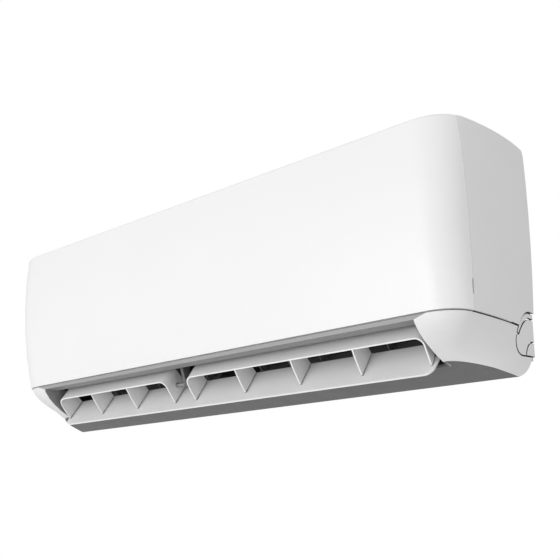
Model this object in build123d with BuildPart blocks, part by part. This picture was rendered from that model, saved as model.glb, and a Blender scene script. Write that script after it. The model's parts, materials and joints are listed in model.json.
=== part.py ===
from build123d import *
import math
import os

# Wall-hung indoor unit of a split air conditioner.
# X runs along the unit (to the right seen from the front), +Y points into the wall,
# +Z is up. The wall is the plane Y = 0, every depth is counted from it towards the
# room, and heights are counted from the lowest line of the underside. The finished
# pieces are lowered as one, so that the origin is the middle of the wall plate's
# back. Sizes in millimetres. A size that ends in _below is counted down from the top
# of the body.

os.makedirs("parts", exist_ok=True)

# ---- body envelope
body_height = 285.0
half_width = 402.5
side_bulge = 2.5
groove_height = 69.2
groove_drop = 12.2
groove_depth = 185.0
top_depth = 177.7
front_bulge = 10.75
groove_corner = 44.0
top_corner = 50.5
groove_bow = 620.0
top_bow = 511.0
top_round = 2.0
rear_round = 12.0
wall_gap = 0.5
groove_width = 1.6
body_bands = 6
shell = 2.5
lap = 1.8
lap_reach = 5.0
lap_inset = 2.1

# ---- lower housing
setback = 1.2
rim_height = 20.0
rim_depth = 128.0
rim_corner = 30.0
rim_bow = 187.0
belly_power = 1.8
bow_power = 1.5
ridge_depth = 49.0
heel_height = 56.0
heel_mid_depth = 11.5
heel_mid_height = 25.0
housing_bands = 5
bands_below = 3
bands_above = 2

# ---- front panel and its hinge
panel_wall = 2.6
seam_depth = 153.0
seam_gap = 0.6
hinge_depth = 159.0
hinge_below = 6.0
hinge_height = body_height - hinge_below
hinge_corner = 6.0
hinge_pin = 3.0
hinge_eye = 5.5
pin_gap = 0.06
cap_edge_depth = 170.6
cap_half = 351.0
tongue_depth = 168.5
tongue_half = 350.0
flange_width = 8.0
flange_sheet = 2.5
lug_inner = 337.0
lug_sheet = 3.0
lug_drop = 12.0
lug_tip_depth = 174.5
hinge_pin_end = 346.0
finger_height = 94.0
finger_half_height = 10.0
finger_half_width = 1.8

# ---- upper frame inside the panel
post_inner = 342.0
post_outer = 350.0
post_back = 148.5
post_front = 168.0
web_inner = 326.0
web_back = 148.0
web_front = 151.0
web_bottom = 113.0
web_outer = 396.0
rib_outer = 335.0
guide_back = 154.0
centre_rib = 8.0
centre_web = 4.5
bar_bottom = 74.0
bar_front = 176.0
bar_back = 157.0
grille_columns = 8
grille_rows = 7
grille_bar = 6.0
slot_width = 10.0
grille_front = 150.0
grille_back = 20.0
grille_half = 376.0
slot_cut = 7.5

# ---- filters
filter_plane = 159.0
filter_sheet = 3.0
filter_inner = 7.0
filter_outer = 331.0
filter_bottom = 82.0
filter_below = 1.0
filter_top = body_height - filter_below
filter_border = 6.0
filter_rib = 2.0
filter_columns = 4
filter_rows = 3
mesh_sheet = 0.5
slide_gap = 0.3

# ---- outlet and flap
outlet_top_depth = 181.0
outlet_top_height = 65.0
outlet_low_depth = 113.5
outlet_low_height = 16.5
outlet_top_half = 324.5
outlet_low_half = 335.0
outlet_margin = 14.0
duct_wall_length = 62.0
brow_half = 345.0
brow_back = 158.0
brow_rise = 3.5
brow_fall = 2.5
pivot_depth = 130.0
pivot_height = 43.4
flap_angle = 46.7
flap_front_depth = 144.0
flap_front_height = 6.6
flap_width = 55.0
flap_sheet = 2.6
flap_front_half = 325.3
flap_rear_half = 332.7
flap_corner = 12.0
flap_pin = 3.0
flap_pin_end = 336.0
flap_drive_end = 344.0
boss_radius = 7.0
boss_sides = 8
boss_end = 338.0
ear_sheet = 2.4
ear_half = 329.0
ear_eye = 5.0
ear_foot = 8.0
hood_height = 38.6
hood_rim = 20.4
hood_back = 53.0
hood_toe = 13.0
hood_sheet = 1.8
hood_belly = 15.6
foot_gap = 1.0
foot_length = 7.0
hood_corner = 12.0
left_hood_left = -322.4
left_hood_right = -80.1
left_cells = 3
right_hood_left = -41.1
right_hood_right = 323.5
right_cells = 4
arm_position = -60.0
arm_sheet = 5.0
arm_eye = 6.0
arm_top_depth = 126.0
arm_top_height = 97.5
drive_radius = 12.0
drive_end = 354.0

# ---- rear casing and end plates
casing_half = 338.0
end_sheet = 3.0
back_plane = 1.5
duct_depth = 46.0
duct_top = 98.0
duct_shoulder_depth = 34.0
duct_knee_height = 79.0
duct_foot_height = 8.0
casing_below = 23.0
casing_top = body_height - casing_below
lip_depth = 112.0
lip_height = 20.0
scroll_low_depth = 67.4
scroll_low_height = 62.8
scroll_mid_depth = 42.0
scroll_mid_height = 92.0
scroll_top_depth = 29.0
scroll_top_height = 150.0
under_skin = 3.2
base_rear_depth = 14.0
base_rear_height = 24.5
base_lift = 4.0
end_front = 148.0
end_shoulder_below = 70.0
end_shoulder_height = body_height - end_shoulder_below
end_top_depth = 105.0
end_top_below = 13.0
end_top_height = body_height - end_top_below
coil_pad = 12.0
coil_pad_depth = 125.0
coil_pad_below = 75.6
coil_pad_height = body_height - coil_pad_below
pocket_count = 8
pocket_width = 66.0
pocket_rib = 10.0
pocket_depth = 22.0
pocket_bottom = 106.0
pocket_top = 185.0

# ---- fan
fan_depth = 82.0
fan_height = 140.0
fan_radius = 45.0
fan_half = 330.0
blade_count = 16
fan_bays = 4
wheel_sides = 32
blade_root = 33.5
blade_tip = 44.6
blade_sheet = 1.4
blade_lean = 16.0
blade_belly = 2.6
disc_sheet = 2.2
ring_inner = 32.0
hub_radius = 9.0
hub_length = 16.0
shaft_radius = 4.0
motor_radius = 33.0
motor_length = 40.0
motor_round = 4.0
bearing_radius = 14.0
bearing_length = 8.0
shaft_hole = 20.0

# ---- coil
coil_sheet = 22.0
coil_half = 320.0
coil_front_depth = 142.0
coil_front_below = 86.0
coil_front_top = body_height - coil_front_below
coil_low_depth = 142.0
coil_low_below = 77.0
coil_low_height = body_height - coil_low_below
coil_ridge_depth = 92.0
coil_ridge_below = 27.0
coil_ridge_height = body_height - coil_ridge_below
coil_back_depth = 76.0
coil_back_below = 25.0
coil_back_height = body_height - coil_back_below
coil_foot_depth = 22.0
coil_foot_below = 80.0
coil_foot_height = body_height - coil_foot_below
bend_pitch = 21.0
bend_tube = 7.0
bend_sides = 12

# ---- drain pan
pan_front = 156.5
pan_wall = 3.3
pan_nose_height = 66.0
pan_floor = 95.0
pan_rim = 112.0
pan_back = 130.7
pan_belly_depth = 137.0
pan_belly_height = 84.5
tongue_low_depth = 120.5
tongue_low_height = 103.0
tongue_tip_depth = 119.5
tongue_tip_height = 108.0
tongue_top_depth = 122.0
tongue_top_height = 110.5

# ---- vertical vanes
vane_count = 6
vane_pitch = 50.0
vane_first = 50.0
vane_station = 47.0
vane_chord = 25.0
vane_height = 33.0
vane_sheet = 1.6
vane_round = 5.0
strip_sheet = 2.5
strip_width = 16.0
strip_margin = 12.0
vane_foot = 3.5
vane_peg = 1.5
peg_sides = 8
peg_flats = 2.55
peg_offset = 8.0
link_sheet = 2.5
link_width = 7.0
link_margin = 6.0

# ---- wall plate
plate_sheet = 1.5
plate_half = 270.0
plate_bottom_below = 173.0
plate_bottom = body_height - plate_bottom_below
plate_below = 27.0
plate_top = body_height - plate_below
wall_screw = 2.6
screw_spacing_x = 450.0
screw_spacing_z = 100.0
window_width = 72.0
window_height = 26.0
window_corner = 8.0
window_count = 4
hook_position = 150.0
hook_width = 24.0
hook_below = 59.0
hook_height = body_height - hook_below
hook_reach = 7.0
hook_rise = 10.0
hook_slot_drop = 12.0

# ---- pipes and electrics
gas_radius = 4.76
gas_depth = 24.0
gas_column = 354.0
gas_run_height = 69.0
gas_end = 120.0
gas_nut = 10.5
gas_bore = 7.9
gas_drop = 42.0
liquid_radius = 3.175
liquid_across = 7.4
liquid_share = 0.25
liquid_column = 368.0
liquid_run_height = 55.0
liquid_end = 150.0
liquid_nut = 8.0
liquid_bore = 5.3
nut_length = 16.0
nut_bore_depth = 10.0
pipe_bend = 14.0
pipe_sides = 8
pipe_gap = 0.4
spigot_radius = 8.0
spigot_bore = 6.0
spigot_position = 290.0
spigot_height = 40.0
spigot_length = 24.0
box_end = 378.0
box_bottom_below = 100.0
box_bottom = body_height - box_bottom_below
box_below = 23.0
box_top = body_height - box_below
box_front = 138.0
box_back = 60.0
box_sheet = 1.6
board_sheet = 1.6
board_margin = 6.0
board_lift = 5.0
block_length = 40.0
block_height = 12.0
block_ways = 4
block_groove = 3.2
relay_size = 12.0
relay_height = 24.0
screw_head = 3.6
screw_rise = 1.8
screw_sides = 6
screw_margin = 18.0

# ---- knock-out panels, outlines seen from the side as depth and height
knock_gap = 1.5
ledge_reach = 3.0
ledge_sheet = 2.0
knock_foot_height = 25.0
knock_top_height = 80.5
knock_flat_depth = 19.5
knock_round_depth = 46.0
knock_round_height = 68.5
knock_side_depth = 57.4
knock_side_height = 46.0
knock_turn_depth = 52.5
knock_turn_height = 32.3
knock_end_depth = 39.5
inner_top_height = 72.2
inner_flat_depth = 17.8
inner_round_depth = 36.0
inner_round_height = 65.4
inner_end_depth = 50.0
inner_end_height = 51.0
small_top_height = 43.2
small_flat_depth = 10.0
small_round_depth = 23.5
small_round_height = 37.0
small_side_depth = 28.5

far = 260.0
span = 2 * (half_width + far)
half_groove = groove_width / 2
half_seam = seam_gap / 2


def lerp(low, high, share):
    return low + (high - low) * share


def yz(depth, height):
    """A point of a side profile from its depth in front of the wall and its height."""
    return (-depth, height)


def side_profile(*points, start=0.0):
    """A straight-sided profile seen from the side, drawn at X = start."""
    with BuildSketch(Plane.YZ.offset(start)) as sketch:
        with BuildLine():
            Polyline(*[yz(*point) for point in points], close=True)
        make_face()
    return sketch.sketch


def side_box(back, front, bottom, top, start=0.0):
    """A rectangle seen from the side, from depth back to depth front."""
    corners = [(back, bottom), (front, bottom), (front, top), (back, top)]
    return side_profile(*corners, start=start)


def side_circle(depth, height, radius, start=0.0):
    """A circle seen from the side."""
    with BuildSketch(Plane.YZ.offset(start)) as sketch:
        with Locations(yz(depth, height)):
            Circle(radius)
    return sketch.sketch


def side_polygon(depth, height, radius, sides):
    """A regular polygon seen from the side."""
    with BuildSketch(Plane.YZ) as sketch:
        with Locations(yz(depth, height)):
            RegularPolygon(radius, sides)
    return sketch.sketch


def plan_outline(height, depth, half, corner, bow):
    """Plan of the body at one height: flat front, round corners, bowed sides."""
    lean = math.asin((depth - corner) / (bow - corner))
    bow_x = half - bow
    corner_x = bow_x + (bow - corner) * math.cos(lean)
    corner_y = corner - depth
    lean_deg = math.degrees(lean)
    turn = 90 - lean_deg
    with BuildSketch(Plane.XY.offset(height)) as sketch:
        with BuildLine():
            Line((-corner_x, -depth), (corner_x, -depth))
            CenterArc((corner_x, corner_y), corner, -90, turn)
            CenterArc((bow_x, 0), bow, -lean_deg, lean_deg)
            Line((half, 0), (-half, 0))
            CenterArc((-bow_x, 0), bow, 180, lean_deg)
            CenterArc((-corner_x, corner_y), corner, 180 + lean_deg, turn)
        make_face()
    return sketch.sketch


def upper_plan(height, inset):
    """Plan of the upper body, which swells between the groove and the top."""
    share = (height - groove_height) / (body_height - groove_height)
    swell = 4 * share * (1 - share)
    return plan_outline(
        height,
        lerp(groove_depth, top_depth, share) + front_bulge * swell - inset,
        half_width + side_bulge * swell - inset,
        lerp(groove_corner, top_corner, share) - inset,
        lerp(groove_bow, top_bow, share) - inset,
    )


def lower_plan(height, inset):
    """Plan of the lower housing, which curls under the body below the groove."""
    rise = (height - rim_height) / (groove_height - rim_height)
    belly = 1 - (1 - min(rise, 1)) ** belly_power
    spread = max(rise, 0) ** bow_power
    return plan_outline(
        height,
        lerp(rim_depth, groove_depth - setback, belly) - inset,
        half_width - setback - inset,
        lerp(rim_corner, groove_corner, spread) - inset,
        lerp(rim_bow, groove_bow, spread) - inset,
    )


upper_low = groove_height - 2 * groove_drop


def upper_sections(inset, top):
    """Sections of the upper body from below the groove to the height top."""
    steps = [step / body_bands for step in range(body_bands + 1)]
    return [upper_plan(lerp(upper_low, top, step), inset) for step in steps]


def lower_sections(inset):
    """Sections of the lower housing from under the floor to above the groove."""
    step = (groove_height - rim_height) / housing_bands
    rows = range(-bands_below, housing_bands + bands_above + 1)
    return [lower_plan(rim_height + step * row, inset) for row in rows]


def groove_at(depth):
    """Height of the groove's middle line, which falls from the front to the wall."""
    return groove_height - groove_drop * (1 - depth / groove_depth)


def under_at(depth):
    """Height of the sloping underside at a depth past its lowest line."""
    return (depth - ridge_depth) * rim_height / (rim_depth - ridge_depth)


def below_groove(gap, start):
    """Side profile of everything under the groove."""
    top = half_groove + gap
    with BuildSketch(Plane.YZ.offset(start)) as sketch:
        with BuildLine():
            Line(yz(far, groove_at(far) - top), yz(wall_gap, groove_at(wall_gap) - top))
            Line(yz(wall_gap, groove_at(wall_gap) - top), yz(wall_gap, heel_height))
            ThreePointArc(
                yz(wall_gap, heel_height),
                yz(heel_mid_depth, heel_mid_height),
                yz(ridge_depth, 0),
            )
            Line(yz(ridge_depth, 0), yz(far, under_at(far)))
            Line(yz(far, under_at(far)), yz(far, groove_at(far) - top))
        make_face()
    return sketch.sketch


def groove_band(low, high, back, front, start):
    """Side profile of a strip that follows the groove between two offsets."""
    return side_profile(
        (back, groove_at(back) + low),
        (front, groove_at(front) + low),
        (front, groove_at(front) + high),
        (back, groove_at(back) + high),
        start=start,
    )


def side_slab(profile, reach=None):
    """A side profile drawn at X = 0, extruded the same way to both ends."""
    return extrude(profile, amount=reach or span / 2, both=True, mode=Mode.PRIVATE)


def mirrored_slabs(profile, inner, outer):
    """A side profile extruded between |X| = inner and outer, on both ends."""
    slab = extrude(profile, amount=outer - inner, mode=Mode.PRIVATE)
    right = slab.moved(Location((inner, 0, 0)))
    return [right, right.mirror(Plane.YZ)]


with BuildPart() as upper_body:
    edge_height = body_height - top_round
    loft(sections=upper_sections(0, edge_height), ruled=True)
    edge_plans = [upper_plan(edge_height, 0), upper_plan(body_height, top_round)]
    loft(sections=edge_plans, ruled=True)

with BuildPart() as frame_hollow:
    loft(sections=upper_sections(shell, body_height - shell), ruled=True)

with BuildPart() as inner_form:
    loft(sections=upper_sections(shell / 2, body_height - shell / 2), ruled=True)

with BuildPart() as lower_body:
    loft(sections=lower_sections(0), ruled=True)
    lower_room = side_box(-lap, far, -lap, groove_height + groove_drop)
    add(side_slab(lower_room), mode=Mode.INTERSECT)


# ---- knock-out outlines
def knock_outline(start):
    """Outline of the whole knock-out panel of one end."""
    with BuildSketch(Plane.YZ.offset(start)) as sketch:
        with BuildLine():
            Line(yz(-lap, knock_top_height), yz(knock_flat_depth, knock_top_height))
            ThreePointArc(
                yz(knock_flat_depth, knock_top_height),
                yz(knock_round_depth, knock_round_height),
                yz(knock_side_depth, knock_side_height),
            )
            ThreePointArc(
                yz(knock_side_depth, knock_side_height),
                yz(knock_turn_depth, knock_turn_height),
                yz(knock_end_depth, knock_foot_height),
            )
            Line(yz(knock_end_depth, knock_foot_height), yz(-lap, knock_foot_height))
            Line(yz(-lap, knock_foot_height), yz(-lap, knock_top_height))
        make_face()
    return sketch.sketch


def inner_outline(start):
    """Outline of the inner knock-out, which shares its lower edge with the whole."""
    with BuildSketch(Plane.YZ.offset(start)) as sketch:
        with BuildLine():
            Line(yz(-lap, inner_top_height), yz(inner_flat_depth, inner_top_height))
            ThreePointArc(
                yz(inner_flat_depth, inner_top_height),
                yz(inner_round_depth, inner_round_height),
                yz(inner_end_depth, inner_end_height),
            )
            Line(yz(inner_end_depth, inner_end_height), yz(far, knock_side_height))
            Line(yz(far, knock_side_height), yz(far, 0))
            Line(yz(far, 0), yz(-lap, 0))
            Line(yz(-lap, 0), yz(-lap, inner_top_height))
        make_face()
    return sketch.sketch


def small_outline(start):
    """Outline of the small round-ended knock-out beside the wall."""
    with BuildSketch(Plane.YZ.offset(start)) as sketch:
        with BuildLine():
            Line(yz(-lap, small_top_height), yz(small_flat_depth, small_top_height))
            ThreePointArc(
                yz(small_flat_depth, small_top_height),
                yz(small_round_depth, small_round_height),
                yz(small_side_depth, knock_foot_height),
            )
            Line(yz(small_side_depth, knock_foot_height), yz(-lap, knock_foot_height))
            Line(yz(-lap, knock_foot_height), yz(-lap, small_top_height))
        make_face()
    return sketch.sketch


def grown(profile, amount):
    """A profile made larger or smaller all round."""
    return offset(profile, amount=amount, mode=Mode.PRIVATE)


knock_start = outlet_low_half
knock_length = span / 2 - knock_start

# ---- front panel
panel_gap = groove_width / 2
panel_rear = seam_depth + half_seam
with BuildSketch(Plane.YZ) as panel_profile:
    with BuildLine():
        Line(yz(far, groove_at(far) + panel_gap), yz(far, body_height))
        Line(yz(far, body_height), yz(hinge_depth, body_height))
        Line(yz(hinge_depth, body_height), yz(panel_rear, body_height))
        Line(yz(panel_rear, body_height), yz(panel_rear, groove_at(panel_rear) + panel_gap))
        Line(
            yz(panel_rear, groove_at(panel_rear) + panel_gap),
            yz(far, groove_at(far) + panel_gap),
        )
    make_face()
    corner = panel_profile.vertices().sort_by(Axis.X)[-2:].sort_by(Axis.Y)[-1]
    fillet(corner, radius=hinge_corner - half_seam)

with BuildSketch(Plane.YZ) as lug_profile:
    with Locations(yz(hinge_depth, hinge_height)):
        Circle(hinge_eye)
    with BuildLine():
        Polyline(
            yz(hinge_depth, hinge_height + hinge_eye),
            yz(hinge_depth, hinge_height - hinge_eye),
            yz(lug_tip_depth + shell, hinge_height - lug_drop),
            yz(lug_tip_depth + shell, hinge_height + hinge_eye),
            close=True,
        )
    make_face()

finger_shoulder = finger_half_height - 2 * finger_half_width
finger_profile = side_profile(
    (seam_depth, finger_height + finger_half_height),
    (seam_depth + finger_half_width, finger_height + finger_shoulder),
    (seam_depth + finger_half_width, finger_height - finger_shoulder),
    (seam_depth, finger_height - finger_half_height),
    (seam_depth - finger_half_width, finger_height - finger_shoulder),
    (seam_depth - finger_half_width, finger_height + finger_shoulder),
)

with BuildPart() as panel_flange:
    extrude(upper_plan(upper_low, shell / 2), amount=body_height)
    extrude(upper_plan(upper_low, flange_width), amount=body_height, mode=Mode.SUBTRACT)
    flange_low = panel_gap
    flange_high = panel_gap + flange_sheet
    flange_band = groove_band(flange_low, flange_high, panel_rear, far, 0)
    add(side_slab(flange_band), mode=Mode.INTERSECT)

with BuildPart() as front_panel:
    add(upper_body.part)
    loft(sections=upper_sections(panel_wall, body_height - panel_wall), ruled=True, mode=Mode.SUBTRACT)
    add(side_slab(panel_profile.sketch), mode=Mode.INTERSECT)
    cap_room = side_box(0, cap_edge_depth, hinge_height, body_height + shell)
    add(side_slab(cap_room, cap_half), mode=Mode.SUBTRACT)
    add(panel_flange.part)
    add(mirrored_slabs(lug_profile.sketch, lug_inner, lug_inner + lug_sheet))
    pins = side_circle(hinge_depth, hinge_height, hinge_pin)
    add(mirrored_slabs(pins, lug_inner + lug_sheet, hinge_pin_end))
    add(side_slab(finger_profile), mode=Mode.SUBTRACT)

# ---- upper frame: side covers, top with its inlet grille, filter guides
frame_front = seam_depth - half_seam
with BuildSketch(Plane.YZ) as frame_profile:
    with BuildLine():
        Polyline(
            yz(frame_front, groove_at(frame_front) + half_groove),
            yz(wall_gap, groove_at(wall_gap) + half_groove),
            yz(wall_gap, body_height),
            yz(frame_front, body_height),
            close=True,
        )
    make_face()
    corner = frame_profile.vertices().sort_by(Axis.X)[-2:].sort_by(Axis.Y)[-1]
    fillet(corner, radius=rear_round)

web_profile = side_box(web_back, web_front, web_bottom, body_height - shell / 2)
post_profile = side_box(post_back, post_front, bar_bottom, body_height - shell / 2)
rib_profile = side_box(post_back, post_front, web_bottom, body_height - shell / 2)
centre_profile = side_box(guide_back, post_front, web_bottom, body_height - shell / 2)
low_centre_profile = side_box(bar_back, post_front, bar_bottom, web_bottom)
guide_half = filter_sheet / 2 + slide_gap
guide_profile = side_box(
    filter_plane - guide_half, filter_plane + guide_half, filter_bottom, body_height + shell
)

guides = mirrored_slabs(guide_profile, centre_web, filter_outer + slide_gap)
notch = side_box(seam_depth, cap_edge_depth, hinge_height - hinge_eye, body_height + shell)
notches = mirrored_slabs(notch, lug_inner - 2 * slide_gap, post_inner - slide_gap)
hinge_bores = side_circle(hinge_depth, hinge_height, hinge_pin + pin_gap)

with BuildPart() as frame_inside:
    add(mirrored_slabs(web_profile, web_inner, web_outer))
    add(mirrored_slabs(post_profile, post_inner, post_outer))
    add(mirrored_slabs(rib_profile, web_inner, rib_outer))
    add(side_slab(centre_profile, centre_rib))
    add(side_slab(low_centre_profile, centre_rib))
    add(side_slab(side_box(bar_back, bar_front, bar_bottom, filter_bottom), post_outer))
    bore_start = post_inner - half_seam
    add(mirrored_slabs(hinge_bores, bore_start, post_outer + shell), mode=Mode.SUBTRACT)
    add(guides, mode=Mode.SUBTRACT)
    add(notches, mode=Mode.SUBTRACT)
    add(inner_form.part, mode=Mode.INTERSECT)

grille_step = 2 * grille_half / grille_columns
row_step = (grille_front - grille_back) / grille_rows
with BuildSketch(Plane.XY.offset(body_height - 2 * shell)) as grille_slots:
    with Locations((0, -(grille_front + grille_back) / 2)):
        with GridLocations(grille_step, row_step, grille_columns, grille_rows):
            Rectangle(grille_step - grille_bar, slot_width)

with BuildPart() as face_frame:
    add(upper_body.part)
    add(frame_hollow.part, mode=Mode.SUBTRACT)
    add(side_slab(frame_profile.sketch), mode=Mode.INTERSECT)
    tongue = side_box(seam_depth - shell, tongue_depth, body_height - shell, body_height)
    add(side_slab(tongue, tongue_half))
    add(frame_inside.part)
    add(guides, mode=Mode.SUBTRACT)
    add(notches, mode=Mode.SUBTRACT)
    extrude(grille_slots.sketch, amount=slot_cut, mode=Mode.SUBTRACT)
    add(side_slab(finger_profile), mode=Mode.SUBTRACT)
    knock_hole = extrude(knock_outline(knock_start), amount=knock_length, mode=Mode.PRIVATE)
    add([knock_hole, knock_hole.mirror(Plane.YZ)], mode=Mode.SUBTRACT)

# ---- lower housing: cheeks, outlet walls, brow of the outlet
chord_y = outlet_top_depth - outlet_low_depth
chord_z = outlet_low_height - outlet_top_height
chord = math.hypot(chord_y, chord_z)
outlet_plane = Plane(
    origin=(0, -outlet_top_depth, outlet_top_height),
    x_dir=(1, 0, 0),
    z_dir=(0, chord_z, -chord_y),
)


def outlet_face(growth):
    """The outlet opening in its own sloping plane, grown sideways by a wall."""
    with BuildSketch(outlet_plane) as sketch:
        with BuildLine():
            Polyline(
                (-outlet_top_half - growth, 0),
                (outlet_top_half + growth, 0),
                (outlet_low_half + growth, -chord),
                (-outlet_low_half - growth, -chord),
                close=True,
            )
        make_face()
    return sketch.sketch


duct_profile = side_profile(
    (outlet_top_depth + outlet_margin, outlet_top_height),
    (outlet_top_depth, outlet_top_height + lap),
    (brow_back, outlet_top_height - brow_fall + lap),
    (end_front, outlet_top_height + lap),
    (outlet_low_depth, scroll_low_height - lap),
    (outlet_low_depth, outlet_low_height),
    (outlet_low_depth + outlet_margin, -outlet_margin),
)

with BuildPart() as outlet_walls:
    extrude(outlet_face(shell), amount=outlet_margin)
    extrude(outlet_face(shell), amount=-duct_wall_length)
    extrude(outlet_face(0), amount=outlet_margin, mode=Mode.SUBTRACT)
    extrude(outlet_face(0), amount=-duct_wall_length, mode=Mode.SUBTRACT)
    add(side_slab(duct_profile), mode=Mode.INTERSECT)
    boss = side_polygon(pivot_depth, pivot_height, boss_radius, boss_sides)
    add(mirrored_slabs(boss, outlet_low_half - shell, boss_end))
    extrude(outlet_face(0), amount=-duct_wall_length, mode=Mode.SUBTRACT)
    flap_bores = side_circle(pivot_depth, pivot_height, flap_pin + pin_gap)
    add(side_slab(flap_bores), mode=Mode.SUBTRACT)
    add(lower_body.part, mode=Mode.INTERSECT)

brow_profile = side_profile(
    (outlet_top_depth + lap, groove_height + shell),
    (outlet_top_depth, outlet_top_height),
    (brow_back, outlet_top_height - brow_fall),
    (brow_back, outlet_top_height - brow_fall + brow_rise),
    (bar_front, groove_height + shell),
)

with BuildPart() as brow:
    add(side_slab(brow_profile, brow_half))
    add(side_slab(below_groove(0, 0)), mode=Mode.INTERSECT)
    loft(sections=lower_sections(shell / 2), ruled=True, mode=Mode.INTERSECT)

with BuildPart() as groove_lap:
    loft(sections=lower_sections(lap_inset), ruled=True)
    loft(sections=lower_sections(shell + lap), ruled=True, mode=Mode.SUBTRACT)
    lap_band = groove_band(-lap_reach, lap_reach, wall_gap, frame_front - shell, 0)
    add(side_slab(lap_band), mode=Mode.INTERSECT)

with BuildPart() as ledge:
    extrude(grown(knock_outline(knock_start), ledge_reach), amount=knock_length)
    hole = grown(knock_outline(knock_start), -ledge_reach)
    extrude(hole, amount=knock_length, mode=Mode.SUBTRACT)
    add(side_slab(side_box(wall_gap, far, 0, body_height)), mode=Mode.INTERSECT)
    loft(sections=lower_sections(shell), ruled=True, mode=Mode.INTERSECT)
    loft(sections=lower_sections(shell + ledge_sheet), ruled=True, mode=Mode.SUBTRACT)

with BuildPart() as lower_housing:
    add(lower_body.part)
    loft(sections=lower_sections(shell), ruled=True, mode=Mode.SUBTRACT)
    add(side_slab(below_groove(0, 0)), mode=Mode.INTERSECT)
    extrude(outlet_face(0), amount=outlet_margin, mode=Mode.SUBTRACT)
    extrude(outlet_face(0), amount=-duct_wall_length, mode=Mode.SUBTRACT)
    add(outlet_walls.part)
    add(brow.part)
    add(groove_lap.part)
    add([knock_hole, knock_hole.mirror(Plane.YZ)], mode=Mode.SUBTRACT)
    add([ledge.part, ledge.part.mirror(Plane.YZ)])

# ---- knock-out panels
with BuildPart() as knock_skin:
    extrude(grown(knock_outline(knock_start), -knock_gap), amount=knock_length)
    add(side_slab(side_box(wall_gap, far, 0, body_height)), mode=Mode.INTERSECT)
    loft(sections=lower_sections(0), ruled=True, mode=Mode.INTERSECT)
    loft(sections=lower_sections(shell), ruled=True, mode=Mode.SUBTRACT)

inner_grown = grown(inner_outline(knock_start), knock_gap / 2)
inner_shrunk = grown(inner_outline(knock_start), -knock_gap / 2)
small_grown = grown(small_outline(knock_start), knock_gap)

with BuildPart() as knockout_outer:
    add(knock_skin.part)
    extrude(inner_grown, amount=knock_length, mode=Mode.SUBTRACT)

with BuildPart() as knockout_inner:
    add(knock_skin.part)
    extrude(inner_shrunk, amount=knock_length, mode=Mode.INTERSECT)
    extrude(small_grown, amount=knock_length, mode=Mode.SUBTRACT)

with BuildPart() as knockout_small:
    add(knock_skin.part)
    extrude(small_outline(knock_start), amount=knock_length, mode=Mode.INTERSECT)

with BuildPart() as knockout_left:
    add(knock_skin.part.mirror(Plane.YZ))

# ---- base cover, the sloping underside
with BuildPart() as base_cover:
    with BuildSketch(Plane.YZ.offset(-span / 2)):
        with BuildLine():
            Polyline(
                yz(base_rear_depth, base_rear_height),
                yz(ridge_depth, 0),
                yz(lip_depth, under_at(lip_depth)),
                yz(lip_depth, under_at(lip_depth) + under_skin),
                yz(ridge_depth + lap, under_skin),
                yz(base_rear_depth, base_rear_height + base_lift),
                close=True,
            )
        make_face()
    extrude(amount=span)
    end_cover = side_profile(
        (lip_depth, under_at(lip_depth)),
        (rim_depth, under_at(rim_depth)),
        (rim_depth, under_at(rim_depth) + under_skin),
        (lip_depth, under_at(lip_depth) + under_skin),
    )
    add(mirrored_slabs(end_cover, outlet_low_half + shell, half_width))
    loft(sections=lower_sections(shell), ruled=True, mode=Mode.INTERSECT)
    add(lower_housing.part, mode=Mode.SUBTRACT)

# ---- rear casing: moulded back, fan scroll, pipe duct and end plates
shelf_half = coil_sheet / 2
foot_run = math.hypot(coil_back_depth - coil_foot_depth, coil_back_height - coil_foot_height)
foot_y = (coil_back_depth - coil_foot_depth) / foot_run
foot_z = (coil_back_height - coil_foot_height) / foot_run
shelf_front_depth = coil_foot_depth + shelf_half * foot_z
shelf_front_height = coil_foot_height - shelf_half * foot_y
shelf_back_depth = coil_foot_depth - shelf_half * foot_z
shelf_back_height = coil_foot_height + shelf_half * foot_y
back_sheet_depth = back_plane + shell

with BuildSketch(Plane.YZ) as casing_profile:
    with BuildLine():
        Polyline(
            yz(scroll_top_depth, scroll_top_height),
            yz(shelf_front_depth, shelf_front_height),
            yz(shelf_back_depth, shelf_back_height),
            yz(back_sheet_depth, shelf_back_height),
            yz(back_sheet_depth, casing_top),
            yz(back_plane, casing_top),
            yz(back_plane, duct_top),
            yz(duct_shoulder_depth, duct_top),
            yz(duct_depth, duct_knee_height),
            yz(duct_depth, duct_foot_height),
            yz(ridge_depth + lap, under_skin),
            yz(lip_depth, under_at(lip_depth) + under_skin),
            yz(lip_depth, lip_height),
            yz(scroll_low_depth, scroll_low_height),
        )
        ThreePointArc(
            yz(scroll_low_depth, scroll_low_height),
            yz(scroll_mid_depth, scroll_mid_height),
            yz(scroll_top_depth, scroll_top_height),
        )
    make_face()

end_profile = side_profile(
    (back_plane, casing_top),
    (back_plane, duct_top),
    (duct_shoulder_depth, duct_top),
    (duct_depth, duct_knee_height),
    (duct_depth, duct_foot_height),
    (ridge_depth + lap, under_skin + lap),
    (lip_depth - base_lift, under_at(lip_depth) + under_skin),
    (lip_depth, scroll_low_height - shell),
    (end_front, pan_nose_height + base_lift),
    (end_front, end_shoulder_height),
    (end_top_depth, end_top_height),
    (scroll_top_depth, end_top_height),
)

gas_start_depth = (coil_foot_depth + coil_back_depth) / 2
gas_start_height = (coil_foot_height + coil_back_height) / 2
liquid_depth = lerp(coil_foot_depth, coil_back_depth, liquid_share) - liquid_across * foot_z
liquid_height = lerp(coil_foot_height, coil_back_height, liquid_share) + liquid_across * foot_y

pocket_x = pocket_width + pocket_rib
pocket_middle = (pocket_bottom + pocket_top) / 2
hook_room = hook_width + 2 * pin_gap + wall_gap
pad_profile = side_profile(
    (coil_pad_depth, coil_pad_height),
    (coil_pad_depth - coil_pad, coil_pad_height + coil_pad),
    (coil_pad_depth - coil_pad, coil_pad_height),
)

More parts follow.
